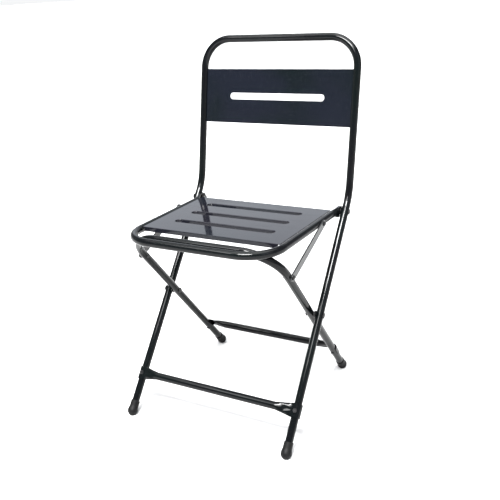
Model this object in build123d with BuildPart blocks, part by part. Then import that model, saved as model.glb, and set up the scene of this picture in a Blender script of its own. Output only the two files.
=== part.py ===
from build123d import *
import math
import os

# Folding chair of bent steel tube with a slotted sheet seat and a slotted back slat.
# Millimetres. X runs across the chair, Y from front to back, Z up. The origin is on the
# floor under the middle of the chair, which faces -Y.

os.makedirs("parts", exist_ok=True)

# Tube and sheet
tube_r = 9.0
tube_wall = 1.2
sheet_t = 1.5
fit_gap = 0.05  # radial clearance of every bolt and rivet in its hole
run_gap = 0.3  # side clearance between pieces that turn on each other

# Side view of the three frames, as (y, z) points on the tube centre lines
front_foot_y = -241.9
front_foot = (front_foot_y, 0.0)
back_bend = (front_foot_y + 401.6, 470.8)
back_top = (front_foot_y + 478.3, 823.4)
rear_foot = (front_foot_y + 406.7, 0.0)
leg_bar = (front_foot_y + 47.2, 448.4)
seat_front = (front_foot_y + 18.1, 451.0)
seat_pivot = (front_foot_y + 375.3, 438.6)

# Half widths to the centre lines, and bend radii
back_half = 204.0
leg_half = 182.0
seat_half_front = 177.0
seat_half_rear = 184.0
back_bend_r = 125.0
back_corner_r = 69.0
leg_corner_r = 78.0
seat_corner_r = 76.0

# Back slat, measured up the uprights from the bend
slat_low = 156.5
slat_high = 288.0
slat_t = 2.0
slat_slot_length = 254.0
slat_slot_width = 16.0

# Seat sheet, measured rearwards from the front rail, on the plane of the rails
sheet_front = 74.0
sheet_rear = 335.0
sheet_rise = 6.75  # top of the sheet above the rail centre lines
sheet_flange = 10.0
sheet_bend_r = 1.4
seat_slots = (141.0, 211.0, 281.0)
seat_slot_length = 252.0
seat_slot_width = 18.0
seat_lip = 8.0  # the slot edges are drawn down by this much
seat_lip_t = 2.6
seat_lip_r = 2.4  # rounding from the sheet into the slot

# Stretchers between the legs. Each lies on the outward faces of its two legs.
stretcher_up = 105.0  # from the floor to its middle, along the legs
saddle_length = 31.0
saddle_t = 2.4  # the two walls of the tube, pressed together
squeeze_length = 46.0
flat_run = 9.0  # flat stretch before the end turns round the leg
half_squeezed = (24.0, 11.0)  # height and thickness half way along the squeeze
wrap_angle = 112.0
wrap_corner_r = 5.0
rivet_r = 3.0
rivet_head_r = 5.2
rivet_tail_r = 4.6

# Pivots
link_upper_run = 252.0  # along the rail from the front rail to the upper link bolt
link_lower_share = 0.85  # how far up the rear leg the lower link bolt sits
link_t = 3.0
link_width = 17.0
link_gap = 0.4
link_edge_r = 0.5
tab_t = 7.0
tab_r = 12.0
tab_squeeze_run = 34.0  # the squeeze starts this far before the seat pivot
tab_flat_run = 13.0  # and the flat tab this far
tab_gap = 1.5

# Bolts and nuts. A domed nut is (across flats, height) and a low round nut (radius, height).
pivot_bolt_r = 4.0
pivot_head_r = 7.0
pivot_head_height = 2.4
pivot_washer_r = 8.0
pivot_nut = (13.0, 7.5)
leg_nut = (6.6, 1.8)
link_bolt_r = 3.0
link_head_r = 5.5
link_head_height = 3.2
link_nut = (10.0, 6.0)
link_low_nut = (5.0, 1.5)
low_nut_taper = 30.0
flush_gap = 0.1  # a bolt set into a low nut stops this far short of its face
nut_floor_t = 1.5  # metal over the end of the bolt in a domed nut
nut_flats_share = 0.55  # share of a domed nut's height that is hexagonal
nut_dome_taper = 14.0
nut_dome_inset = 0.3
head_profile = (0.3, 0.8, 0.72, 0.35)  # rim and shoulder heights, shoulder and crown radii, as shares
bolt_reach = 2.0  # a bolt stops this far short of the end of its nut

# Foot caps
cap_ball_r = 12.2
cap_ball_z = 10.2
cap_neck_r = 10.6
cap_length = 38.0
cap_flare_run = 12.5  # from the ball's centre up to the neck
cap_rim_chamfer = (0.5, 0.8)
cap_floor_t = 5.0  # plastic between the ball's centre and the tube end


def unit(start, end):
    """Unit vector in the side view, from one (y, z) point to another."""
    length = math.hypot(end[0] - start[0], end[1] - start[1])
    return ((end[0] - start[0]) / length, (end[1] - start[1]) / length)


def along(start, direction, distance):
    """The (y, z) point that lies a distance along a direction."""
    return (start[0] + direction[0] * distance, start[1] + direction[1] * distance)


front_leg_dir = unit(front_foot, back_bend)
upright_dir = unit(back_bend, back_top)
rear_leg_dir = unit(rear_foot, leg_bar)
rail_dir = unit(seat_front, seat_pivot)
rail_length = math.dist(seat_front, seat_pivot)
rear_leg_length = math.dist(rear_foot, leg_bar)

# The legs cross where both centre lines have the same height.
front_slope = front_leg_dir[0] / front_leg_dir[1]
rear_slope = rear_leg_dir[0] / rear_leg_dir[1]
leg_pivot_z = (rear_foot[0] - front_foot[0]) / (front_slope - rear_slope)
leg_pivot = (front_foot[0] + front_slope * leg_pivot_z, leg_pivot_z)

link_upper = along(seat_front, rail_dir, link_upper_run)
link_lower = along(rear_foot, rear_leg_dir, link_lower_share * rear_leg_length)

# Lateral places of the faces that meet at the pivots
back_inner = back_half - tube_r
back_outer = back_half + tube_r
leg_inner = leg_half - tube_r
leg_outer = leg_half + tube_r
link_inner = leg_outer + link_gap
link_outer = link_inner + link_t
tab_outer = back_inner - tab_gap
tab_inner = tab_outer - tab_t


def rail_half(run):
    """Half width between the rail centre lines at a run from the front rail."""
    return seat_half_front + (seat_half_rear - seat_half_front) * run / rail_length


def cap_floor(direction):
    """Distance up a leg from the floor point to the end of the tube, inside the cap."""
    return cap_ball_z / direction[1] + cap_floor_t


def point(x, side_point):
    return (x, side_point[0], side_point[1])


def cross_plane(x, side_point):
    """Plane across the chair at x, whose normal is +X."""
    return Plane(origin=point(x, side_point), x_dir=(0, 1, 0), z_dir=(1, 0, 0))


def tube_along(path):
    """Section of the hollow tube at the start of a path."""
    with BuildSketch(Plane(origin=path @ 0, z_dir=path % 0)) as section:
        Circle(tube_r)
        Circle(tube_r - tube_wall, mode=Mode.SUBTRACT)
    return section.sketch


def leg_rivet_holes(half_width, centre, normal):
    """Rivet holes through both legs at one stretcher."""
    for x in (-half_width, half_width):
        with BuildSketch(Plane(origin=point(x, centre), z_dir=point(0, normal))) as hole:
            Circle(rivet_r + fit_gap)
        extrude(hole.sketch, amount=2 * tube_r, both=True, mode=Mode.SUBTRACT)


front_normal = (-front_leg_dir[1], front_leg_dir[0])
rear_normal = (rear_leg_dir[1], -rear_leg_dir[0])
front_stretcher_at = along(front_foot, front_leg_dir, stretcher_up)
rear_stretcher_at = along(rear_foot, rear_leg_dir, stretcher_up)


# ---------------------------------------------------------------- back frame
# One tube: left front leg, left upright, top rail, right upright, right front leg.
front_tube_end = along(front_foot, front_leg_dir, cap_floor(front_leg_dir))
with BuildPart() as back_frame_tube:
    with BuildLine() as back_path:
        FilletPolyline(
            point(-back_half, front_tube_end),
            point(-back_half, back_bend),
            point(-back_half, back_top),
            point(back_half, back_top),
            point(back_half, back_bend),
            point(back_half, front_tube_end),
            radius=(back_bend_r, back_corner_r, back_corner_r, back_bend_r),
        )
    sweep(sections=tube_along(back_path.line), path=back_path.line)
    for pivot in (leg_pivot, seat_pivot):
        with BuildSketch(cross_plane(-back_outer - 1, pivot)):
            Circle(pivot_bolt_r + fit_gap)
        extrude(amount=2 * back_outer + 2, mode=Mode.SUBTRACT)
    leg_rivet_holes(back_half, front_stretcher_at, front_normal)

# Flat slat between the uprights, on their centre plane, with one long slot
slat_centre = along(back_bend, upright_dir, (slat_low + slat_high) / 2)
slat_normal = (-upright_dir[1], upright_dir[0])
with BuildPart() as back_slat:
    with BuildSketch(Plane(origin=point(0, slat_centre), x_dir=(1, 0, 0), z_dir=point(0, slat_normal))):
        Rectangle(2 * back_inner, slat_high - slat_low)
        SlotOverall(slat_slot_length, slat_slot_width, mode=Mode.SUBTRACT)
    extrude(amount=slat_t / 2, both=True)

# ---------------------------------------------------------------- rear legs
# One tube: left rear leg, the bar behind the front rail, right rear leg.
rear_tube_end = along(rear_foot, rear_leg_dir, cap_floor(rear_leg_dir))
with BuildPart() as rear_leg_tube:
    with BuildLine() as leg_path:
        FilletPolyline(
            point(-leg_half, rear_tube_end),
            point(-leg_half, leg_bar),
            point(leg_half, leg_bar),
            point(leg_half, rear_tube_end),
            radius=leg_corner_r,
        )
    sweep(sections=tube_along(leg_path.line), path=leg_path.line)
    for pivot, bolt_r in ((leg_pivot, pivot_bolt_r), (link_lower, link_bolt_r)):
        with BuildSketch(cross_plane(-leg_outer - 1, pivot)):
            Circle(bolt_r + fit_gap)
        extrude(amount=2 * leg_outer + 2, mode=Mode.SUBTRACT)
    leg_rivet_holes(leg_half, rear_stretcher_at, rear_normal)


# ---------------------------------------------------------------- stretchers
saddle_inner_r = tube_r + fit_gap
saddle_outer_r = saddle_inner_r + saddle_t
saddle_middle_r = saddle_inner_r + saddle_t / 2


def stretcher(half_width, centre, normal):
    """Cross tube with ends squeezed flat, laid on the legs and turned round their outer sides."""
    middle_at = along(centre, normal, saddle_middle_r)
    tube_half = half_width - squeeze_length
    with BuildPart() as bar:
        for side in (-1, 1):
            # Section across the leg: x to the outer side of the chair, y along the outward normal
            leg_section = Plane(
                origin=point(side * half_width, centre),
                x_dir=(side, 0, 0),
                z_dir=(0, -side * normal[1], side * normal[0]),
            )
            with BuildSketch(leg_section):
                with BuildLine():
                    wrap_outside = CenterArc((0, 0), saddle_outer_r, 90 - wrap_angle, wrap_angle)
                    wrap_inside = CenterArc((0, 0), saddle_inner_r, 90 - wrap_angle, wrap_angle)
                    Line(wrap_outside @ 0, wrap_inside @ 0)
                    Polyline(
                        wrap_outside @ 1, (-flat_run, saddle_outer_r),
                        (-flat_run, saddle_inner_r), wrap_inside @ 1,
                    )
                make_face()
            extrude(amount=saddle_length / 2, both=True)
        # The turned ends have rounded corners, as seen from the chair's side.
        lowest = saddle_outer_r * math.cos(math.radians(wrap_angle))
        with BuildSketch(Plane(origin=point(0, centre), x_dir=point(0, normal), z_dir=(1, 0, 0))):
            with Locations((lowest + 2 * tube_r, 0)):
                RectangleRounded(4 * tube_r, saddle_length, wrap_corner_r)
        extrude(amount=half_width + 2 * tube_r, both=True, mode=Mode.INTERSECT)
        with BuildSketch(Plane(origin=point(-tube_half, middle_at), z_dir=(1, 0, 0))):
            Circle(tube_r)
            Circle(tube_r - tube_wall, mode=Mode.SUBTRACT)
        extrude(amount=2 * tube_half)
        for side in (-1, 1):
            tube_end = point(side * tube_half, middle_at)
            squeeze = Plane(origin=tube_end, x_dir=point(0, normal), z_dir=(side, 0, 0))
            with BuildSketch(squeeze):
                Circle(tube_r)
            with BuildSketch(squeeze.offset((squeeze_length - flat_run) / 2)):
                RectangleRounded(half_squeezed[1], half_squeezed[0], half_squeezed[1] / 2 - 0.3)
            with BuildSketch(squeeze.offset(squeeze_length - flat_run)):
                RectangleRounded(saddle_t, saddle_length, saddle_t / 2 - 0.3)
            loft()
            with BuildSketch(Plane(origin=point(side * half_width, centre), z_dir=point(0, normal))):
                Circle(rivet_r + fit_gap)
            extrude(amount=2 * tube_r, mode=Mode.SUBTRACT)
    return bar


def stretcher_rivets(half_width, centre, normal):
    """Two round-headed rivets through the turned ends and the legs."""
    with BuildPart() as rivets:
        for x in (-half_width, half_width):
            axis_plane = Plane(origin=point(x, centre), x_dir=(1, 0, 0), z_dir=point(0, normal))
            with BuildSketch(axis_plane.offset(-tube_r)):
                Circle(rivet_r)
            extrude(amount=tube_r + saddle_outer_r)
            with BuildSketch(axis_plane.offset(saddle_outer_r)):
                Circle(rivet_head_r)
            extrude(amount=2.6, taper=38)
            with BuildSketch(axis_plane.offset(-tube_r)):
                Circle(rivet_tail_r)
            extrude(amount=-1.8, taper=30)
    return rivets


front_stretcher = stretcher(back_half, front_stretcher_at, front_normal)
front_stretcher_rivets = stretcher_rivets(back_half, front_stretcher_at, front_normal)
rear_stretcher = stretcher(leg_half, rear_stretcher_at, rear_normal)
rear_stretcher_rivets = stretcher_rivets(leg_half, rear_stretcher_at, rear_normal)

# ---------------------------------------------------------------- seat
# One tube bent round the front, its rear ends squeezed into flat round tabs at the pivots.
squeeze_run = rail_length - tab_squeeze_run
tab_run = rail_length - tab_flat_run
with BuildPart() as seat_frame_tube:
    with BuildLine() as seat_path:
        FilletPolyline(
            point(-rail_half(squeeze_run), along(seat_front, rail_dir, squeeze_run)),
            point(-seat_half_front, seat_front),
            point(seat_half_front, seat_front),
            point(rail_half(squeeze_run), along(seat_front, rail_dir, squeeze_run)),
            radius=seat_corner_r,
        )
    sweep(sections=tube_along(seat_path.line), path=seat_path.line)
    for side in (-1, 1):
        end_at = point(side * rail_half(squeeze_run), along(seat_front, rail_dir, squeeze_run))
        tab_at = point(side * (tab_outer + tab_inner) / 2, along(seat_front, rail_dir, tab_run))
        end_dir = seat_path.line % 1 if side > 0 else -(seat_path.line % 0)
        with BuildSketch(Plane(origin=end_at, x_dir=(side, 0, 0), z_dir=end_dir)):
            Circle(tube_r)
        with BuildSketch(Plane(origin=tab_at, x_dir=(1, 0, 0), z_dir=point(0, rail_dir))):
            RectangleRounded(tab_t, 2 * tab_r, 2)
        loft()
        with BuildSketch(cross_plane(tab_inner if side > 0 else -tab_outer, seat_pivot)):
            with Locations(Location((0, 0), math.degrees(math.atan2(rail_dir[1], rail_dir[0])))):
                Circle(tab_r)
                with Locations((tab_run / 2 - rail_length / 2, 0)):
                    Rectangle(rail_length - tab_run, 2 * tab_r)
        extrude(amount=tab_t)
    with BuildSketch(cross_plane(-back_inner, seat_pivot)):
        Circle(pivot_bolt_r + fit_gap)
    extrude(amount=2 * back_inner, mode=Mode.SUBTRACT)
    with BuildSketch(cross_plane(-back_inner, link_upper)):
        Circle(link_bolt_r + fit_gap)
    extrude(amount=2 * back_inner, mode=Mode.SUBTRACT)

# Sheet between the rails: turned-down front edge and three slots with drawn-down lips
rail_normal = (-rail_dir[1], rail_dir[0])
sheet_top = along(seat_front, rail_normal, sheet_rise)
top_plane = Plane(origin=point(0, sheet_top), x_dir=(1, 0, 0), z_dir=point(0, rail_normal))
edge_gap = 7.6  # from the rail centre line to the sheet's welded edge
flange_gap = 12.0  # from the rail centre line to the end of the turned-down edge
with BuildPart() as seat_sheet:
    with BuildSketch(top_plane):
        with BuildLine():
            Polyline(
                (-rail_half(sheet_front) + edge_gap, sheet_front),
                (rail_half(sheet_front) - edge_gap, sheet_front),
                (rail_half(sheet_rear) - edge_gap, sheet_rear),
                (-rail_half(sheet_rear) + edge_gap, sheet_rear),
                close=True,
            )
        make_face()
    extrude(amount=-sheet_t)
    with BuildSketch(top_plane):
        with Locations((0, sheet_front + sheet_t / 2)):
            Rectangle(2 * (rail_half(sheet_front) - flange_gap), sheet_t)
    extrude(amount=-sheet_flange)
    front_edge = seat_sheet.faces().sort_by(Axis.Z)[-1].edges().sort_by(Axis.Y)[0]
    fillet(front_edge, sheet_bend_r)
    with BuildSketch(top_plane):
        for run in seat_slots:
            with Locations((0, run)):
                SlotOverall(seat_slot_length + 2 * seat_lip_t, seat_slot_width + 2 * seat_lip_t)
    extrude(amount=-seat_lip)
    with BuildSketch(top_plane):
        for run in seat_slots:
            with Locations((0, run)):
                SlotOverall(seat_slot_length, seat_slot_width)
    extrude(amount=-2 * seat_lip, mode=Mode.SUBTRACT)
    top_face = seat_sheet.faces().sort_by(SortBy.AREA)[-1]
    for slot_edge in top_face.inner_wires():
        fillet(slot_edge.edges(), seat_lip_r)

# ---------------------------------------------------------------- links
# Flat bars with round ends that tie the seat rails to the rear legs.
link_length = math.dist(link_upper, link_lower)
link_angle = math.degrees(math.atan2(link_lower[1] - link_upper[1], link_lower[0] - link_upper[0]))


def link_bar(x_start):
    with BuildPart() as bar:
        with BuildSketch(cross_plane(x_start, link_upper)):
            with Locations(Location((0, 0), link_angle)):
                with Locations((link_length / 2, 0)):
                    SlotCenterToCenter(link_length, link_width)
                with Locations((0, 0), (link_length, 0)):
                    Circle(link_bolt_r + fit_gap, mode=Mode.SUBTRACT)
        extrude(amount=link_t)
        fillet(bar.faces().filter_by(Axis.X).edges().filter_by(GeomType.LINE), link_edge_r)
    return bar


left_link = link_bar(-link_outer)
right_link = link_bar(link_inner)


# ---------------------------------------------------------------- fasteners
def round_bolts(side_point, shank_r, head_at, shank_end, head_r, head_height, sides=(-1, 1)):
    """Round-headed bolts pushed inwards from the sides of the chair."""
    rim_up, shoulder_up, shoulder_out, crown_out = head_profile
    rim = (head_at + rim_up * head_height, head_r)
    shoulder = (head_at + shoulder_up * head_height, shoulder_out * head_r)
    crown = (head_at + head_height, crown_out * head_r)
    with BuildPart() as bolts:
        for side in sides:
            with BuildSketch(Plane(origin=point(0, side_point), x_dir=(side, 0, 0), z_dir=(0, -side, 0))):
                with BuildLine():
                    Polyline((shank_end, 0), (shank_end, shank_r), (head_at, shank_r), (head_at, head_r), rim)
                    ThreePointArc(rim, shoulder, crown)
                    Polyline(crown, (crown[0], 0), (shank_end, 0))
                make_face()
            revolve(axis=Axis(point(0, side_point), (1, 0, 0)))
    return bolts


def cap_nuts(side_point, bolt_r, face_at, nut):
    """Domed hexagon nuts, their flat face outwards against the tube or tab."""
    across_flats, height = nut
    with BuildPart() as nuts:
        for side in (-1, 1):
            face = Plane(origin=point(side * face_at, side_point), x_dir=(0, 1, 0), z_dir=(-side, 0, 0))
            with BuildSketch(face):
                RegularPolygon(across_flats / 2, 6, major_radius=False)
            extrude(amount=nut_flats_share * height)
            with BuildSketch(face):
                Circle(across_flats / 2 - nut_dome_inset)
            extrude(amount=height, taper=nut_dome_taper)
            with BuildSketch(face):
                Circle(bolt_r + fit_gap)
            extrude(amount=height - nut_floor_t, mode=Mode.SUBTRACT)
    return nuts


def low_nuts(side_point, bolt_r, face_at, nut):
    """Low coned round nuts, with the end of the bolt set flush in them."""
    outer_r, height = nut
    with BuildPart() as nuts:
        for side in (-1, 1):
            face = Plane(origin=point(side * face_at, side_point), x_dir=(0, 1, 0), z_dir=(-side, 0, 0))
            with BuildSketch(face):
                Circle(outer_r)
            extrude(amount=height, taper=low_nut_taper)
            with BuildSketch(face):
                Circle(bolt_r + fit_gap)
            extrude(amount=height, mode=Mode.SUBTRACT)
    return nuts


def washers(side_point, bolt_r, outer_r, x_start, x_end):
    """Flat rings between two pieces that turn on each other."""
    with BuildPart() as rings:
        for x in (x_start, -x_end):
            with BuildSketch(cross_plane(x, side_point)):
                Circle(outer_r)
                Circle(bolt_r + fit_gap, mode=Mode.SUBTRACT)
            extrude(amount=x_end - x_start)
    return rings


def bolt_end(nut_face, nut):
    """Where the shank ends inside a domed nut."""
    return nut_face - nut[1] + bolt_reach


leg_nut_face = leg_inner - run_gap
seat_nut_face = tab_inner - run_gap
upper_nut_face = rail_half(link_upper_run) - tube_r - 0.2
pivot_head = (pivot_head_r, pivot_head_height)
link_head = (link_head_r, link_head_height)
leg_bolt_end = leg_nut_face - leg_nut[1] + flush_gap
leg_pivot_bolts = round_bolts(leg_pivot, pivot_bolt_r, back_outer, leg_bolt_end, *pivot_head)
leg_pivot_nuts = low_nuts(leg_pivot, pivot_bolt_r, leg_nut_face, leg_nut)
leg_pivot_spacers = washers(leg_pivot, pivot_bolt_r, pivot_washer_r, leg_outer + run_gap, back_inner)
seat_pivot_bolts = round_bolts(
    seat_pivot, pivot_bolt_r, back_outer, bolt_end(seat_nut_face, pivot_nut), *pivot_head
)
seat_pivot_nuts = cap_nuts(seat_pivot, pivot_bolt_r, seat_nut_face, pivot_nut)
seat_pivot_washers = washers(seat_pivot, pivot_bolt_r, pivot_washer_r, tab_outer + run_gap, back_inner)
link_upper_bolts = round_bolts(
    link_upper, link_bolt_r, link_outer + 0.2, bolt_end(upper_nut_face, link_nut), *link_head
)
link_upper_nuts = cap_nuts(link_upper, link_bolt_r, upper_nut_face, link_nut)

# The lower link bolt is in two: its head stays with the link, its threaded end with the leg.
link_lower_nuts = low_nuts(link_lower, link_bolt_r, leg_inner, link_low_nut)
left_link_head = round_bolts(link_lower, link_bolt_r, link_outer, link_inner, *link_head, sides=(-1,))
right_link_head = round_bolts(link_lower, link_bolt_r, link_outer, link_inner, *link_head, sides=(1,))
stud_inner = leg_inner - link_low_nut[1] + flush_gap
stud_outer = leg_outer - 0.1
with BuildPart() as link_lower_studs:
    for x in (stud_inner, -stud_outer):
        with BuildSketch(cross_plane(x, link_lower)):
            Circle(link_bolt_r)
        extrude(amount=stud_outer - stud_inner)


# ---------------------------------------------------------------- foot caps
def foot_cap(x, foot, direction):
    """Sleeve over the tube end, flaring to a ball that is flat where it meets the floor."""
    ball_at = cap_ball_z / direction[1]
    below_ball = (cap_ball_r * math.sin(math.pi / 4), ball_at - cap_ball_r * math.cos(math.pi / 4))
    widest = (cap_ball_r, ball_at)
    neck = (cap_neck_r, ball_at + cap_flare_run)
    bore_r = tube_r + fit_gap
    floor_at = cap_floor(direction)
    leg_plane = Plane(origin=point(x, foot), x_dir=(1, 0, 0), z_dir=(0, -direction[1], direction[0]))
    with BuildPart() as cap:
        with BuildSketch(leg_plane):
            with BuildLine():
                ThreePointArc((0, ball_at - cap_ball_r), below_ball, widest)
                Spline(widest, neck, tangents=((0, 1), (0, 1)))
                Polyline(
                    neck, (cap_neck_r, cap_length - cap_rim_chamfer[1]),
                    (cap_neck_r - cap_rim_chamfer[0], cap_length), (bore_r, cap_length),
                    (bore_r, floor_at), (0, floor_at), (0, ball_at - cap_ball_r),
                )
            make_face()
        revolve(axis=Axis(point(x, foot), point(0, direction)))
        split(bisect_by=Plane.XY, keep=Keep.TOP)
    return cap


front_left_foot = foot_cap(-back_half, front_foot, front_leg_dir)
front_right_foot = foot_cap(back_half, front_foot, front_leg_dir)
rear_left_foot = foot_cap(-leg_half, rear_foot, rear_leg_dir)
rear_right_foot = foot_cap(leg_half, rear_foot, rear_leg_dir)

pieces = {
    "back_frame_tube": back_frame_tube,
    "back_slat": back_slat,
    "front_stretcher": front_stretcher,
    "front_stretcher_rivets": front_stretcher_rivets,
    "rear_leg_tube": rear_leg_tube,
    "rear_stretcher": rear_stretcher,
    "rear_stretcher_rivets": rear_stretcher_rivets,
    "seat_frame_tube": seat_frame_tube,
    "seat_sheet": seat_sheet,
    "left_link": left_link,
    "right_link": right_link,
    "leg_pivot_bolts": leg_pivot_bolts,
    "leg_pivot_nuts": leg_pivot_nuts,
    "leg_pivot_spacers": leg_pivot_spacers,
    "seat_pivot_bolts": seat_pivot_bolts,
    "seat_pivot_nuts": seat_pivot_nuts,
    "seat_pivot_washers": seat_pivot_washers,
    "link_upper_bolts": link_upper_bolts,
    "link_upper_nuts": link_upper_nuts,
    "link_lower_nuts": link_lower_nuts,
    "link_lower_studs": link_lower_studs,
    "left_link_head": left_link_head,
    "right_link_head": right_link_head,
    "front_left_foot": front_left_foot,
    "front_right_foot": front_right_foot,
    "rear_left_foot": rear_left_foot,
    "rear_right_foot": rear_right_foot,
}
for name, piece in pieces.items():
    piece.part.label = name
    export_step(piece.part, f"parts/{name}.step")
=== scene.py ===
import math

import bmesh
import bpy
from mathutils import Matrix, Vector


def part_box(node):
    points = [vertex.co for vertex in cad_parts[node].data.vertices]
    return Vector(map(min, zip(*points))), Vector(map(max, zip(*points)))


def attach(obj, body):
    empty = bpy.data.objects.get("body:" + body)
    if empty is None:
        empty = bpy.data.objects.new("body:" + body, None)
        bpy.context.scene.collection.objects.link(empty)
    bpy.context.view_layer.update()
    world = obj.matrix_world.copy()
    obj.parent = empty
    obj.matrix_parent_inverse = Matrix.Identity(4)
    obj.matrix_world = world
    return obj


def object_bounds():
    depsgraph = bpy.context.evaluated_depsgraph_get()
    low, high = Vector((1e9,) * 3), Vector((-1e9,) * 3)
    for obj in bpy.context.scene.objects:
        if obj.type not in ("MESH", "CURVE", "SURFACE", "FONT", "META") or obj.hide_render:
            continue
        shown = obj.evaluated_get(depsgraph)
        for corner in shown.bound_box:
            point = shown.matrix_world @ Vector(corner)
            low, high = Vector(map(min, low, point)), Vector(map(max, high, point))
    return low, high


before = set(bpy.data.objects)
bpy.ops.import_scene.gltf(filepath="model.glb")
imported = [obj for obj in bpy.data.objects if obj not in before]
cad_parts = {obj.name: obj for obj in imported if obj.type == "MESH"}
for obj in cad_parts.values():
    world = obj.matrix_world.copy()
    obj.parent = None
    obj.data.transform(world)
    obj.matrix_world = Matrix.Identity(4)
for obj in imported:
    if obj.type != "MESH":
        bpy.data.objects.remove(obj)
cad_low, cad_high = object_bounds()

# ------------------------------------------------------------------ camera
# Stands in front of the chair, off to its +X side, and looks down on it through a normal
# lens. It leans a little, and aims just under the middle of the chair.
scene = bpy.context.scene
chair_middle = (Vector(cad_low) + Vector(cad_high)) / 2
aim_offset = Vector((-0.0060, 0.0406, -0.0677))
aim = chair_middle + aim_offset
turn, dip, tilt = math.radians(29.36), math.radians(21.37), math.radians(-3.73)
camera_distance = 1.6648
forward = Vector((
    -math.sin(turn) * math.cos(dip), math.cos(turn) * math.cos(dip), -math.sin(dip)))
level = Vector((math.cos(turn), math.sin(turn), 0))
upward = level.cross(forward)
right = level * math.cos(tilt) + upward * math.sin(tilt)
top = upward * math.cos(tilt) - level * math.sin(tilt)
camera = bpy.data.objects.new("camera", bpy.data.cameras.new("camera"))
scene.collection.objects.link(camera)
camera.data.sensor_width = 36
camera.data.lens = 49.5
camera_axes = Matrix((right, top, -forward)).transposed()
camera.matrix_world = Matrix.Translation(aim - forward * camera_distance) @ camera_axes.to_4x4()
scene.camera = camera
scene.view_settings.view_transform = "Standard"

# ------------------------------------------------------------------ studio
# A matt floor painted whiter outwards, which is painted light standing in for the soft boxes'
# light falling off away from the chair.
# A room with a pale horizon and a bright ceiling, and five soft boxes. The two in front draw
# the white lines down the tubes, the one behind lies in the seat, and the two at the sides
# lighten the flanks.


class Wire:
    """An output socket. Sums, differences and products of wires add Math nodes."""

    # A Mix node takes its two colours in these inputs, and gives their blend in this output.
    first_colour, second_colour, mixed_colour = 6, 7, 2

    def __init__(self, tree, socket=None):
        self.tree, self.socket = tree, socket

    def node(self, kind, settings, sockets, out=0):
        """A new node: its settings first, then the values or links of its sockets."""
        made = self.tree.nodes.new(kind)
        for name, value in settings.items():
            setattr(made, name, value)
        for name, value in sockets.items():
            if isinstance(value, Wire):
                self.tree.links.new(value.socket, made.inputs[name])
            else:
                made.inputs[name].default_value = value
        return Wire(self.tree, made.outputs[out])

    def maths(self, operation, first, second):
        return self.node("ShaderNodeMath", {"operation": operation}, {0: first, 1: second})

    def __add__(self, other):
        return self.maths("ADD", self, other)

    def __rsub__(self, other):
        return self.maths("SUBTRACT", other, self)

    def __mul__(self, other):
        return self.maths("MULTIPLY", self, other)

    __radd__ = __add__
    __rmul__ = __mul__

    def noise(self, waves, detail=3.0, roughness=0.5, distortion=0.0):
        """Noise at a number of waves per metre; self is the place on the surface."""
        return self.node("ShaderNodeTexNoise", {}, {
            "Vector": self, "Scale": waves, "Detail": detail,
            "Roughness": roughness, "Distortion": distortion})

    def stretched(self, waves):
        """The place on the surface, with its own number of waves per metre along each axis."""
        return self.node("ShaderNodeMapping", {}, {"Vector": self, "Scale": waves})

    def between(self, low, high):
        """0 below low and 1 above high, with a smooth rise."""
        return self.node("ShaderNodeMapRange", {"interpolation_type": "SMOOTHSTEP"}, {
            "Value": self, "From Min": low, "From Max": high})

    def blend(self, first, second):
        """The first colour where this wire is 0 and the second where it is 1."""
        return self.node("ShaderNodeMix", {"data_type": "RGBA"}, {
            "Factor": self, self.first_colour: first, self.second_colour: second},
            self.mixed_colour)


def new_finish(name, shader_values):
    """A material with even values on its shader; gives it with the place on the surface."""
    finish = bpy.data.materials.new(name)
    finish.use_nodes = True
    shader = finish.node_tree.nodes["Principled BSDF"]
    for socket, value in shader_values.items():
        shader.inputs[socket].default_value = value
    place = Wire(finish.node_tree).node("ShaderNodeTexCoord", {}, {}, "Object")
    return finish, place


def feed(finish, **wires):
    """Links wires to the shader's sockets, named with _ for a space."""
    shader = finish.node_tree.nodes["Principled BSDF"]
    for name, wire in wires.items():
        finish.node_tree.links.new(wire.socket, shader.inputs[name.replace("_", " ")])


floor_reach = 60.0
floor_light, floor_dark = (0.62, 0.62, 0.62, 1), (0.59, 0.59, 0.59, 1)
floor_far_painted_light = (0.95, 0.95, 0.95, 1)
painted_light_starts, painted_light_ends = 0.6, 3.5
floor_mesh = bpy.data.meshes.new("studio_floor")
floor_bm = bmesh.new()
bmesh.ops.create_grid(floor_bm, x_segments=1, y_segments=1, size=floor_reach)
floor_bm.to_mesh(floor_mesh)
floor_bm.free()
floor = bpy.data.objects.new("studio_floor", floor_mesh)
scene.collection.objects.link(floor)
floor_paint_and_painted_light, floor_place = new_finish("floor_paint_and_painted_light", {
    "Roughness": 0.9, "Specular IOR Level": 0.1})
from_middle = floor_place.node(
    "ShaderNodeVectorMath", {"operation": "LENGTH"}, {0: floor_place}, "Value")
# Painted light: past 0.6 m the floor is painted paler, up to near white at 3.5 m, standing in
# for lamp light that no longer reaches it.
painted_light_outward = from_middle.between(painted_light_starts, painted_light_ends)
mottled = floor_place.noise(waves=1.5).blend(floor_light, floor_dark)
feed(floor_paint_and_painted_light, Base_Color=painted_light_outward.blend(mottled, floor_far_painted_light))
floor_mesh.materials.append(floor_paint_and_painted_light)

horizon_white, wall_grey = (0.92, 0.93, 0.94, 1), (0.30, 0.31, 0.32, 1)
ceiling_light = (6.2, 6.2, 6.2, 1)
horizon_low, horizon_high = 0.05, 0.26
ceiling_low, ceiling_high = 0.70, 0.98
room = bpy.data.worlds.new("room")
room.use_nodes = True
room_light = room.node_tree.nodes["Background"]
direction = Wire(room.node_tree).node("ShaderNodeTexCoord", {}, {}, "Generated")
height = direction.node("ShaderNodeSeparateXYZ", {}, {"Vector": direction}, "Z")
ceiling = height.between(ceiling_low, ceiling_high)
walls = height.between(horizon_low, horizon_high).blend(horizon_white, wall_grey)
room.node_tree.links.new(
    ceiling.blend(walls, ceiling_light).socket, room_light.inputs["Color"])
scene.world = room

box_distance = 3.0
white_light, cool_light = (1.0, 1.0, 1.0), (0.87, 0.92, 1.0)


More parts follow.
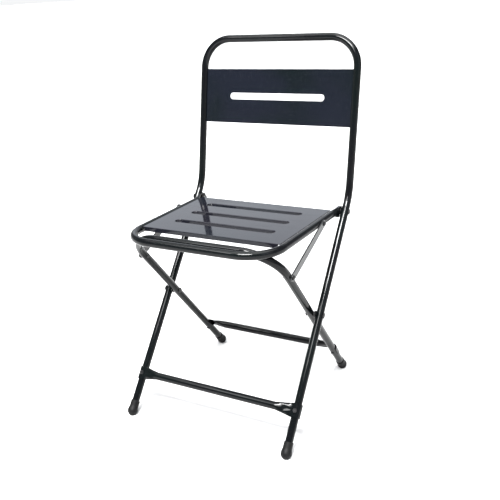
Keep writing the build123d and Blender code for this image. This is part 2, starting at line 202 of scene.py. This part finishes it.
def soft_box(name, bearing, rise, width, tall, radiance, colour):
    """An area light that faces the chair: degrees round it from the front, and degrees up."""
    lamp = bpy.data.lights.new(name, "AREA")
    lamp.shape = "RECTANGLE"
    lamp.size, lamp.size_y = width, tall
    lamp.energy = radiance * width * tall * math.pi
    lamp.color = colour
    box = bpy.data.objects.new(name, lamp)
    scene.collection.objects.link(box)
    around, up = math.radians(bearing), math.radians(rise)
    away = Vector((
        math.sin(around) * math.cos(up), -math.cos(around) * math.cos(up), math.sin(up)))
    facing = away.to_track_quat("Z", "Y").to_matrix().to_4x4()
    box.matrix_world = Matrix.Translation(chair_middle + away * box_distance) @ facing
    box.visible_camera = False


soft_box(
    "front_box", bearing=7, rise=57, width=1.5, tall=0.55, radiance=105, colour=white_light)
soft_box(
    "lower_box", bearing=7, rise=46, width=1.1, tall=0.5, radiance=20, colour=white_light)
soft_box(
    "left_box", bearing=-42, rise=47, width=0.6, tall=0.6, radiance=14, colour=white_light)
soft_box(
    "rear_box", bearing=205, rise=27, width=3.2, tall=1.5, radiance=1.25, colour=cool_light)
soft_box(
    "side_box", bearing=75, rise=30, width=1.6, tall=1.6, radiance=1.2, colour=cool_light)

# ------------------------------------------------------------------ tubes and stretchers
# Round steel tube, bent, and powder coated gloss black. The coat keeps a fine orange peel,
# with dull smears, dust specks and hair scratches spread over it.
paint_black = (0.0020, 0.0022, 0.0028, 1)
paint_green_black = (0.0018, 0.0029, 0.0030, 1)
tube_dust = (0.03, 0.03, 0.032, 1)
clean_roughness, smeared_roughness = 0.09, 0.15
scratched_extra = 0.12
clean_coat, smeared_coat_loss = 0.14, 0.06
peel_waves, peel_depth = 420.0, 0.000005
fine_peel_waves, fine_peel_share = 2600.0, 0.12


def relief(height, depth, under=None):
    """A bump of this height map, over another bump where one is given."""
    sockets = {"Height": height, "Distance": depth}
    if under is not None:
        sockets["Normal"] = under
    return height.node("ShaderNodeBump", {}, sockets)


def dress(node, finish):
    """The CAD node shows this finish on every slot."""
    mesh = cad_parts[node].data
    mesh.materials.clear()
    mesh.materials.append(finish)


tube_paint, tube_place = new_finish("tube_paint", {
    "IOR": 1.5, "Specular IOR Level": 0.12, "Coat Roughness": 0.07, "Coat IOR": 1.45})
tube_tint = tube_place.noise(waves=9.0, detail=4.0).between(0.35, 0.68).blend(
    paint_black, paint_green_black)
scratches = tube_place.stretched((900.0, 160.0, 60.0)).noise(
    waves=1.0, detail=2.0, roughness=0.6).between(0.66, 0.74)
smears = tube_place.noise(waves=28.0, detail=5.0, roughness=0.6).between(0.42, 0.66)
tube_specks = tube_place.noise(waves=1500.0, detail=1.0).between(0.70, 0.76)
tube_roughness = (
    clean_roughness + (smeared_roughness - clean_roughness) * smears
    + scratched_extra * scratches)
tube_peel = relief(tube_place.noise(peel_waves, detail=2.0), peel_depth)
tube_peel = relief(
    tube_place.noise(fine_peel_waves, detail=2.0), peel_depth * fine_peel_share, tube_peel)
feed(
    tube_paint, Base_Color=tube_specks.blend(tube_tint, tube_dust), Roughness=tube_roughness,
    Normal=tube_peel, Coat_Weight=clean_coat - smeared_coat_loss * smears)
for node in (
        "back_frame_tube", "rear_leg_tube", "seat_frame_tube",
        "front_stretcher", "rear_stretcher"):
    dress(node, tube_paint)

# ------------------------------------------------------------------ seat sheet and back slat
# Pressed steel sheet, powder coated a little bluer than the tubes, with long shallow waves
# left by the press. The seat is the smoothest and holds a near mirror; the slat is duller.
sheet_blue = (0.0050, 0.0064, 0.0092, 1)
sheet_violet = (0.0060, 0.0058, 0.0086, 1)
slat_blue = (0.0034, 0.0046, 0.0080, 1)
slat_green = (0.0014, 0.0032, 0.0038, 1)
sheet_dust = (0.06, 0.06, 0.065, 1)
wiped_extra, hair_extra = 0.05, 0.10
wiped_coat_share = 0.3
press_waves = 11.0
sheet_peel_share = 0.6


def sheet_coat(name, first, second, roughness, specular, coat, wave_depth):
    """Powder coat on flat sheet: two tints, with press waves, wiping marks and hairlines."""
    finish, place = new_finish(name, {
        "IOR": 1.5, "Specular IOR Level": specular, "Coat Roughness": 0.05, "Coat IOR": 1.5})
    tint = place.noise(waves=5.0, detail=3.0).between(0.35, 0.65).blend(first, second)
    wiped = place.stretched((14.0, 60.0, 60.0)).noise(
        waves=1.0, detail=4.0, roughness=0.6, distortion=0.6).between(0.45, 0.75)
    hairs = place.stretched((60.0, 1100.0, 400.0)).noise(
        waves=1.0, detail=2.0, roughness=0.6).between(0.68, 0.75)
    specks = place.noise(waves=1400.0, detail=1.0).between(0.71, 0.77)
    bumps = relief(place.noise(press_waves, detail=1.0), wave_depth)
    bumps = relief(
        place.noise(peel_waves, detail=2.0), peel_depth * sheet_peel_share, bumps)
    feed(
        finish, Base_Color=specks.blend(tint, sheet_dust),
        Roughness=roughness + wiped_extra * wiped + hair_extra * hairs,
        Normal=bumps, Coat_Weight=coat - wiped_coat_share * coat * wiped)
    return finish


seat_paint = sheet_coat(
    "seat_paint", sheet_blue, sheet_violet,
    roughness=0.07, specular=0.13, coat=0.12, wave_depth=0.0002)
slat_paint = sheet_coat(
    "slat_paint", slat_green, slat_blue,
    roughness=0.20, specular=0.16, coat=0.12, wave_depth=0.0003)
dress("seat_sheet", seat_paint)
dress("back_slat", slat_paint)

# ------------------------------------------------------------------ weld beads
# Short fillet welds hold the sheet to the rails and the slat to the uprights. Each bead is
# a row of overlapping ripples, left unground and coated over with the frame.
bead_r = 0.0021
bead_showing = 0.35
bead_past_edge = 0.0007
bead_end_loss = 0.28
ripple_step = 0.0013
ripple_flatness = 0.62
ripple_jog = Vector((0, 0, 0.00006))
ripple_swell, swell_pace = 0.05, 2.7
slat_half_t, sheet_t = 0.001, 0.0015
slat_bead_shares = ((0.10, 0.30), (0.70, 0.90))
seat_bead_shares = ((0.08, 0.17), (0.45, 0.54), (0.83, 0.92))


def lay_bead(bm, start, end):
    """Ripples from start to end, each a squashed ball a step on from the last."""
    run = end - start
    count = max(2, round(run.length / ripple_step))
    along_bead = run.to_track_quat("X", "Z").to_matrix().to_4x4()
    squash = Matrix.Diagonal((ripple_flatness, 1, 1, 1))
    for k in range(count + 1):
        share = k / count
        near_end = abs(2 * share - 1) ** 4
        swell = 1.0 - bead_end_loss * near_end + ripple_swell * math.sin(swell_pace * k)
        place = Matrix.Translation(start + run * share + ripple_jog * (k % 2))
        bmesh.ops.create_icosphere(
            bm, subdivisions=2, radius=bead_r * swell, matrix=place @ along_bead @ squash)


def weld_piece(name, body, beads):
    """One object of weld beads that rides with the frame it is laid on."""
    bm = bmesh.new()
    for start, end in beads:
        lay_bead(bm, start, end)
    mesh = bpy.data.meshes.new(name)
    bm.to_mesh(mesh)
    bm.free()
    for face in mesh.polygons:
        face.use_smooth = True
    mesh.materials.append(tube_paint)
    piece = bpy.data.objects.new(name, mesh)
    scene.collection.objects.link(piece)
    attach(piece, body)


def both_sides(starts_and_ends):
    """The same beads on the left and on the right."""
    return [(Vector((side * a.x, a.y, a.z)), Vector((side * b.x, b.y, b.z)))
            for side in (-1, 1) for a, b in starts_and_ends]


slat_low, slat_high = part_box("back_slat")
slat_rise = Vector((
    0, slat_high.y - slat_low.y - 2 * slat_half_t, slat_high.z - slat_low.z)).normalized()
slat_back = Vector((0, slat_rise.z, -slat_rise.y))
slat_foot = Vector((slat_high.x, slat_low.y + slat_half_t * slat_back.y, slat_low.z))
slat_length = (slat_high.z - slat_low.z) / slat_rise.z
behind = slat_back * (slat_half_t + bead_showing * bead_r)
weld_piece("slat_weld_beads", "back_frame", both_sides([
    (slat_foot + behind + slat_rise * slat_length * a,
     slat_foot + behind + slat_rise * slat_length * b)
    for a, b in slat_bead_shares]))

sheet_low, sheet_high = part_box("seat_sheet")
sheet_points = [vertex.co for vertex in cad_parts["seat_sheet"].data.vertices]
front_half = max(p.x for p in sheet_points if p.y < sheet_low.y + 2 * sheet_t)
rear_top = max(p.z for p in sheet_points if p.y > sheet_high.y - sheet_t)
under = Vector((bead_past_edge, 0, -sheet_t - bead_showing * bead_r))
front_corner = Vector((front_half, sheet_low.y, sheet_high.z)) + under
rear_corner = Vector((sheet_high.x, sheet_high.y, rear_top)) + under
weld_piece("seat_weld_beads", "seat", both_sides([
    (front_corner.lerp(rear_corner, a), front_corner.lerp(rear_corner, b))
    for a, b in seat_bead_shares]))

# ------------------------------------------------------------------ side links
# Flat steel bar with round ends, one on each side, bolted between the seat rail and the
# rear leg. Its coat is greyer than the sheets' and mirrors a little more of the room.
link_grey = (0.0050, 0.0057, 0.0066, 1)
link_dark = (0.0032, 0.0040, 0.0044, 1)
link_paint = sheet_coat(
    "link_paint", link_grey, link_dark,
    roughness=0.20, specular=0.28, coat=0.3, wave_depth=0.00025)
for node in ("left_link", "right_link"):
    dress(node, link_paint)

# ------------------------------------------------------------------ bolts, nuts and rivets
# Cold-headed steel fasteners, blackened and oiled, with fine turning marks and bright metal
# just showing through where a tool has rubbed the coat.
blacking = (0.0070, 0.0070, 0.0078, 1)
rubbed_steel = (0.050, 0.050, 0.052, 1)
blacking_roughness, grain_extra, rubbed_extra = 0.30, 0.16, 0.08
rubbed_metallic = 0.8
grain_depth = 0.00001
fastener_words = ("rivets", "bolts", "nuts", "washers", "spacers", "head", "studs")
black_steel, steel_place = new_finish("black_steel", {"IOR": 1.5, "Specular IOR Level": 0.25})
worn = steel_place.noise(waves=260.0, detail=5.0, roughness=0.65).between(0.62, 0.74)
grain = steel_place.stretched((500.0, 2200.0, 2200.0)).noise(
    waves=1.0, detail=3.0, roughness=0.6)
feed(
    black_steel, Base_Color=worn.blend(blacking, rubbed_steel),
    Metallic=worn * rubbed_metallic,
    Roughness=blacking_roughness + grain_extra * grain + rubbed_extra * worn,
    Normal=relief(grain, grain_depth))
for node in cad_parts:
    if any(word in node for word in fastener_words):
        dress(node, black_steel)

# ------------------------------------------------------------------ foot caps
# Moulded black plastic, pushed over the tube ends: an even spark-etched grain, scuffed
# grey underneath and round the ball where it meets the floor.
cap_black = (0.0030, 0.0030, 0.0034, 1)
cap_grey = (0.0055, 0.0055, 0.0056, 1)
scuff_grey = (0.024, 0.024, 0.023, 1)
scuff_low, scuff_high = 0.001, 0.009
plastic_roughness, etched_extra, scuffed_extra = 0.46, 0.14, 0.2
etching_depth = 0.00003
foot_plastic, foot_place = new_finish("foot_plastic", {
    "IOR": 1.46, "Specular IOR Level": 0.14})
foot_height = foot_place.node("ShaderNodeSeparateXYZ", {}, {"Vector": foot_place}, "Z")
near_floor = 1 - foot_height.between(scuff_low, scuff_high)
scuffs = foot_place.noise(waves=420.0, detail=5.0, roughness=0.7).between(0.40, 0.62)
scuffed = near_floor * scuffs
etched = foot_place.noise(waves=2100.0, detail=3.0, roughness=0.6)
plain_cap = foot_place.noise(waves=60.0, detail=3.0).between(0.4, 0.65).blend(
    cap_black, cap_grey)
feed(
    foot_plastic, Base_Color=scuffed.blend(plain_cap, scuff_grey),
    Roughness=plastic_roughness + etched_extra * etched + scuffed_extra * scuffed,
    Normal=relief(etched, etching_depth))
for node in ("front_left_foot", "front_right_foot", "rear_left_foot", "rear_right_foot"):
    dress(node, foot_plastic)
